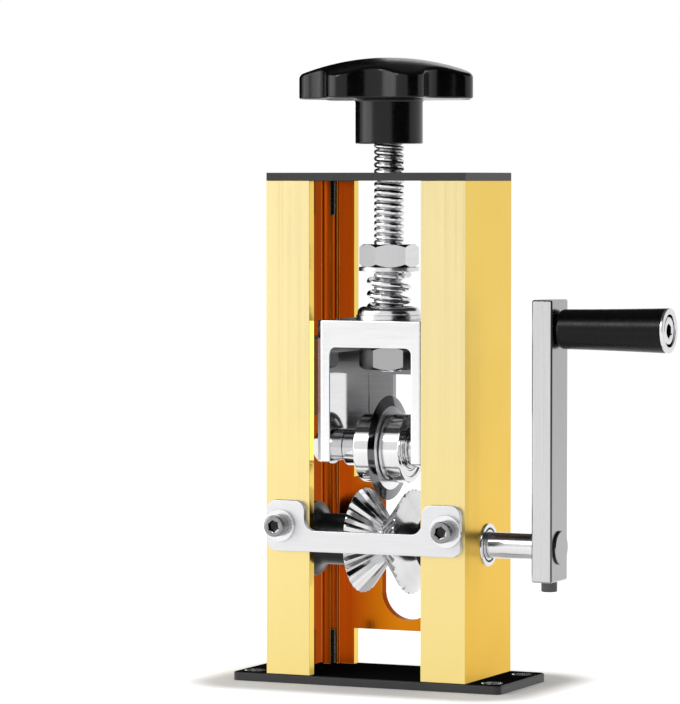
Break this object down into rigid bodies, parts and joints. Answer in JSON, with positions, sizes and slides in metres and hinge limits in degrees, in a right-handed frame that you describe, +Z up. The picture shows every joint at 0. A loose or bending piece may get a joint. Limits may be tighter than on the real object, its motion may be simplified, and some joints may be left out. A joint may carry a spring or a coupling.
{
  "type": "hand crank wire stripper",
  "caption": "Hand cranked bench wire stripper: grooved feed wheels under a round blade in a spring-loaded, screw-adjusted carriage, in an upright frame on a base plate.",
  "frame": {"origin": "centre of the base plate's underside, in the middle of its four bench screw holes", "axes": "+Z up along the adjusting screw, +X along the crank shaft towards the crank, -Y towards the front, where the cable goes in over the guide bar"},
  "size_m": [0.206, 0.0817, 0.29],
  "materials": {
    "gold_anodised": "satin anodised",
    "black_plate": "satin",
    "black_oxide": "satin",
    "plated_steel": "bright plated",
    "ground_steel": "ground",
    "bearing_steel": "polished",
    "arm_alloy": "satin",
    "collar_black": "satin",
    "black_gloss": "glossy"
  },
  "bodies": {
    "frame": {"frame_extrusion": "gold_anodised", "base_plate": "black_plate", "top_plate": "black_plate", "top_plate_screws": "black_oxide", "base_plate_screws": "black_oxide", "guide_bar": "plated_steel", "guide_bar_screws": "black_oxide", "guide_bar_washers": "plated_steel", "wall_bearing_outer_left": "bearing_steel", "wall_bearing_outer_right": "bearing_steel"},
    "drive": {"drive_shaft": "ground_steel", "wheel_key": "ground_steel", "feed_wheel_left": "ground_steel", "feed_wheel_right": "ground_steel", "shaft_collar_left": "collar_black", "shaft_collar_right": "collar_black", "wall_bearing_inner_left": "bearing_steel", "wall_bearing_inner_right": "bearing_steel", "wall_bearing_balls_left": "bearing_steel", "wall_bearing_balls_right": "bearing_steel", "shaft_clip": "ground_steel", "crank_arm": "arm_alloy", "arm_clamp_screw": "black_oxide", "handle_bolt": "plated_steel"},
    "grip": {"handle_grip": "black_gloss", "grip_end_ring": "plated_steel"},
    "feed": {"upper_washer": "plated_steel"},
    "screw": {"adjusting_screw": "plated_steel", "star_knob": "black_gloss", "upper_nut": "plated_steel", "lower_nut": "plated_steel"},
    "carriage": {"carriage_block": "plated_steel", "seat_washer": "plated_steel", "spring_cup": "plated_steel", "compression_spring": "plated_steel", "axle_bolt": "plated_steel", "axle_nut": "plated_steel", "axle_washers": "plated_steel", "axle_sleeve": "ground_steel", "axle_spacers": "ground_steel", "roller_inner_ring_left": "bearing_steel", "roller_inner_ring_right": "bearing_steel", "roller_balls_left": "bearing_steel", "roller_balls_right": "bearing_steel", "roller_cage_left": "bearing_steel", "roller_cage_right": "bearing_steel"},
    "blade": {"cutting_blade": "ground_steel"},
    "roller_left": {"roller_outer_ring_left": "bearing_steel", "roller_shields_left": "bearing_steel"},
    "roller_right": {"roller_outer_ring_right": "bearing_steel", "roller_shields_right": "bearing_steel"}
  },
  "joints": [
    {"name": "crank_turn", "type": "hinge", "parent": "frame", "child": "drive", "pos_m": [0, 0, 0.0654], "axis": [1, 0, 0], "continuous": true},
    {"name": "grip_spin", "type": "hinge", "parent": "drive", "child": "grip", "pos_m": [0.112, 0, 0.1654], "axis": [1, 0, 0], "continuous": true},
    {"name": "screw_feed", "type": "slide", "parent": "frame", "child": "feed", "axis": [0, 0, 1], "range_m": [-0.003, 0.027]},
    {"name": "knob_turn", "type": "hinge", "parent": "feed", "child": "screw", "pos_m": [0, 0, 0.25], "axis": [0, 0, 1], "range_deg": [-3242, 362]},
    {"name": "spring_travel", "type": "slide", "parent": "feed", "child": "carriage", "axis": [0, 0, 1], "range_m": [0, 0.005], "stiffness_N_per_m": 52000, "springref_m": -0.001, "deforming": ["compression_spring"]},
    {"name": "blade_spin", "type": "hinge", "parent": "carriage", "child": "blade", "pos_m": [0, 0, 0.1088], "axis": [1, 0, 0], "continuous": true},
    {"name": "roller_left_spin", "type": "hinge", "parent": "carriage", "child": "roller_left", "pos_m": [-0.0065, 0, 0.1088], "axis": [1, 0, 0], "continuous": true},
    {"name": "roller_right_spin", "type": "hinge", "parent": "carriage", "child": "roller_right", "pos_m": [0.0065, 0, 0.1088], "axis": [1, 0, 0], "continuous": true}
  ],
  "couplings": [
    {"joint": "knob_turn", "follows": "screw_feed", "rad_per_m": -2094.4}
  ]
}
